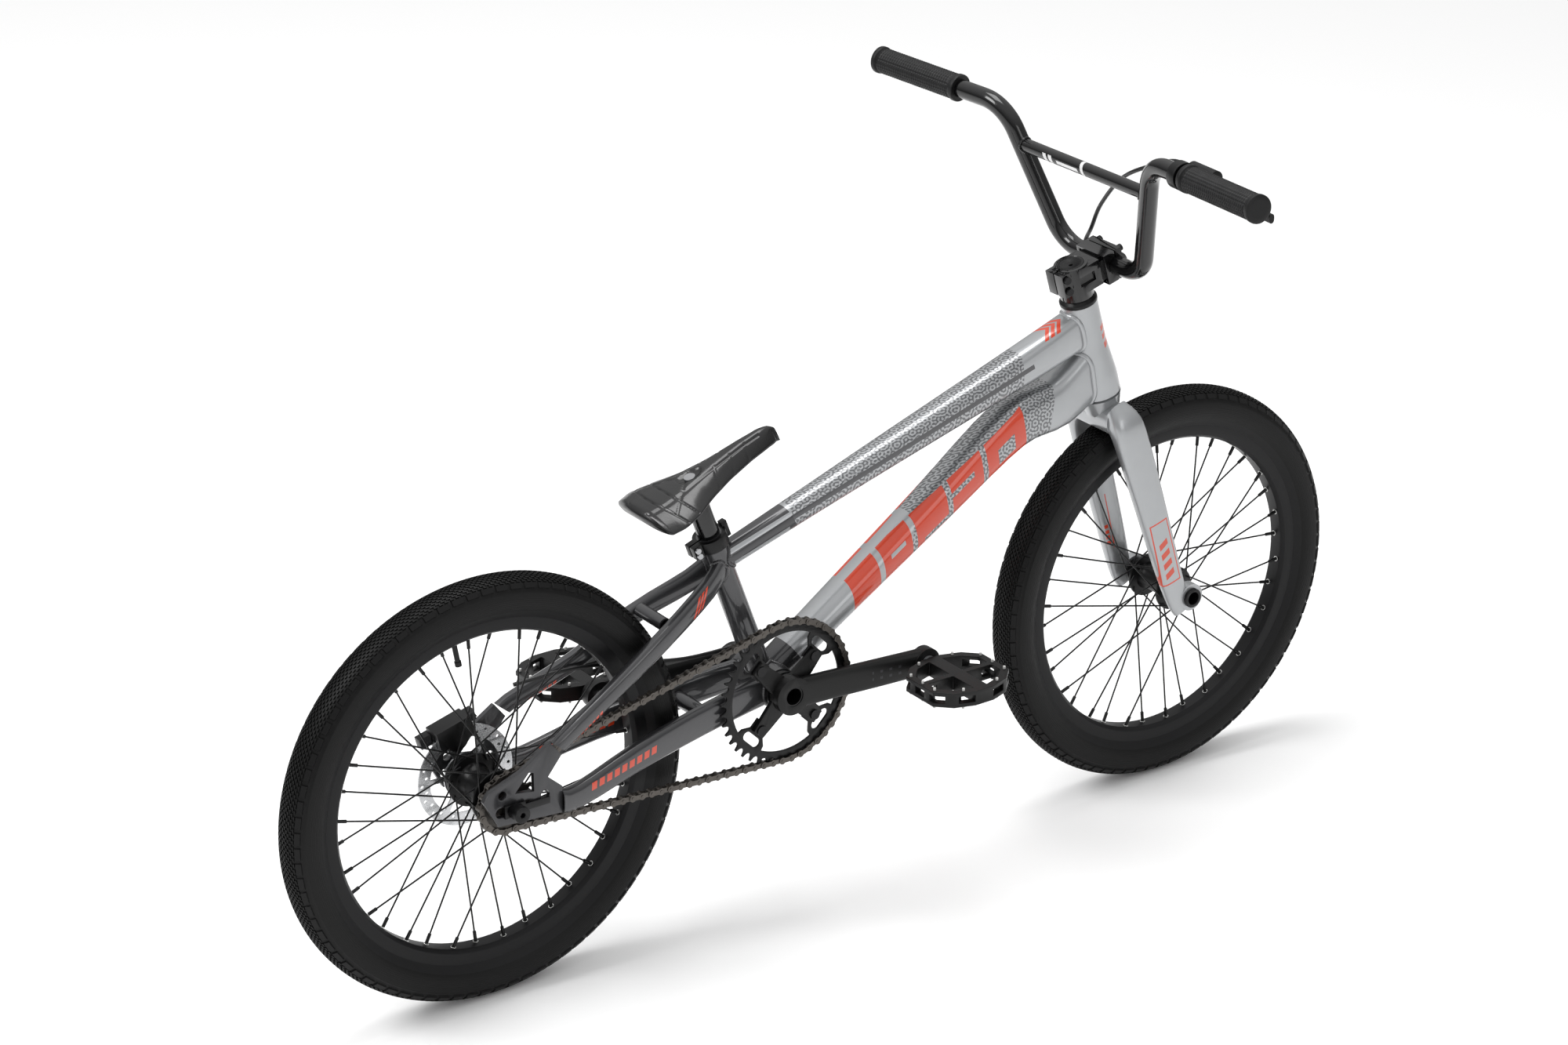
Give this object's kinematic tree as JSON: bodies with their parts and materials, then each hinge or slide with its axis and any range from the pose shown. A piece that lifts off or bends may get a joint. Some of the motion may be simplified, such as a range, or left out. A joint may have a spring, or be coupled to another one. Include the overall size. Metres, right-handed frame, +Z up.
{
  "type": "bmx race bike",
  "caption": "BMX race bike with welded frame, straight silver fork, wide handlebar with crossbar, spoked wheels, cranks, chain, flat pedals, small saddle and rear disc brake.",
  "frame": {"origin": "on the floor midway between the two wheel axles, in the middle plane of the bike", "axes": "+X forward, +Y to the rider's left, +Z up"},
  "size_m": [1.4586, 0.6858, 0.8722],
  "materials": {
    "frame_silver": "fine-flake silver metallic paint under clear coat",
    "frame_charcoal": "charcoal metallic paint under clear coat",
    "dropout_alloy": "machined, dark anodised",
    "black_alloy": "black anodised, satin",
    "gloss_black_alloy": "polished, black anodised, glossy",
    "bearing_steel": "ground",
    "bolt_steel": "zinc plated, satin",
    "black_steel": "black oxide, satin",
    "brake_black": "black anodised, satin",
    "pad_compound": "sintered, matte",
    "hose_plastic": "extruded, satin",
    "chain_steel": "rolled plates, oiled",
    "saddle_shell": "moulded, glossy",
    "fork_carbon": "silver metallic paint over carbon fibre",
    "bare_alloy": "turned, satin",
    "grip_rubber": "moulded, diamond pattern, matte",
    "axle_black": "turned, black anodised",
    "tyre_rubber": "moulded tread, matte",
    "rim_black": "extruded, matte black anodised",
    "spoke_steel": "drawn wire, black",
    "hub_black": "turned, black anodised",
    "valve_brass": "nickel plated",
    "rotor_steel": "laser cut, ground",
    "cog_steel": "heat treated",
    "crank_black": "forged, matte black anodised",
    "ring_black": "machined, black anodised",
    "pedal_black": "forged, black anodised"
  },
  "bodies": {
    "frame": {"head_tube": "frame_silver", "top_tube": "frame_silver", "down_tube": "frame_silver", "seat_tube": "frame_charcoal", "bottom_bracket_shell": "frame_charcoal", "chain_stay_right": "frame_charcoal", "chain_stay_left": "frame_charcoal", "seat_stay_right": "frame_charcoal", "seat_stay_left": "frame_charcoal", "stay_bridges": "frame_charcoal", "dropout_right": "dropout_alloy", "dropout_left": "dropout_alloy", "chain_tensioners": "black_alloy", "headset_bearings": "bearing_steel", "bottom_bracket_cups": "black_alloy", "seat_clamp": "black_alloy", "seat_clamp_bolts": "bolt_steel", "brake_caliper": "brake_black", "brake_pads": "pad_compound", "rear_axle": "black_steel", "brake_hose": "hose_plastic", "chain": "chain_steel"},
    "seat": {"seat_post": "gloss_black_alloy", "saddle": "saddle_shell", "saddle_bolt": "bolt_steel"},
    "steering": {"fork": "fork_carbon", "steerer": "bare_alloy", "crown_race": "bearing_steel", "headset_cover": "black_alloy", "stem": "gloss_black_alloy", "stem_faceplate": "gloss_black_alloy", "stem_bolts": "black_steel", "top_cap": "black_alloy", "handlebar": "gloss_black_alloy", "grip_left": "grip_rubber", "grip_right": "grip_rubber", "lever_housing": "brake_black", "front_axle": "axle_black"},
    "brake_lever": {"brake_lever": "brake_black"},
    "front_wheel": {"front_tyre": "tyre_rubber", "front_rim": "rim_black", "front_spokes": "spoke_steel", "front_hub": "hub_black", "front_valve": "valve_brass"},
    "rear_wheel": {"rear_tyre": "tyre_rubber", "rear_rim": "rim_black", "rear_spokes": "spoke_steel", "rear_hub": "hub_black", "rear_valve": "valve_brass", "brake_rotor": "rotor_steel", "rotor_bolts": "bolt_steel"},
    "rear_cog": {"rear_cog": "cog_steel"},
    "cranks": {"crank_spindle": "bare_alloy", "crank_right": "crank_black", "crank_left": "crank_black", "chainring": "ring_black", "chainring_bolts": "black_steel", "pedal_spindles": "bolt_steel"},
    "pedal_right": {"pedal_right": "pedal_black"},
    "pedal_left": {"pedal_left": "pedal_black"}
  },
  "joints": [
    {"name": "seat_height", "type": "slide", "parent": "frame", "child": "seat", "axis": [-0.3453, 0, 0.9385], "range_m": [-0.03, 0.03]},
    {"name": "steer", "type": "hinge", "parent": "frame", "child": "steering", "pos_m": [0.45238, 0, 0.24228], "axis": [-0.2756, 0, 0.9613], "range_deg": [-80, 80], "deforming": ["brake_hose"]},
    {"name": "lever_pull", "type": "hinge", "parent": "steering", "child": "brake_lever", "pos_m": [0.3459, -0.20973, 0.83296], "axis": [-0.5299, 0, -0.848], "range_deg": [0, 16], "stiffness_Nm_per_rad": 0.5},
    {"name": "front_spin", "type": "hinge", "parent": "steering", "child": "front_wheel", "pos_m": [0.4793, 0, 0.25], "axis": [0, 1, 0], "continuous": true},
    {"name": "rear_spin", "type": "hinge", "parent": "frame", "child": "rear_wheel", "pos_m": [-0.4793, 0, 0.25], "axis": [0, 1, 0], "continuous": true},
    {"name": "crank_spin", "type": "hinge", "parent": "frame", "child": "cranks", "pos_m": [-0.11033, 0, 0.2825], "axis": [0, 1, 0], "continuous": true, "deforming": ["chain"]},
    {"name": "cog_spin", "type": "hinge", "parent": "frame", "child": "rear_cog", "pos_m": [-0.4793, 0, 0.25], "axis": [0, 1, 0], "continuous": true},
    {"name": "pedal_right_spin", "type": "hinge", "parent": "cranks", "child": "pedal_right", "pos_m": [0.06467, 0, 0.28403], "axis": [0, 1, 0], "continuous": true},
    {"name": "pedal_left_spin", "type": "hinge", "parent": "cranks", "child": "pedal_left", "pos_m": [-0.28532, 0, 0.28097], "axis": [0, 1, 0], "continuous": true}
  ],
  "couplings": [
    {"joint": "cog_spin", "follows": "crank_spin", "ratio": 2.625}
  ]
}
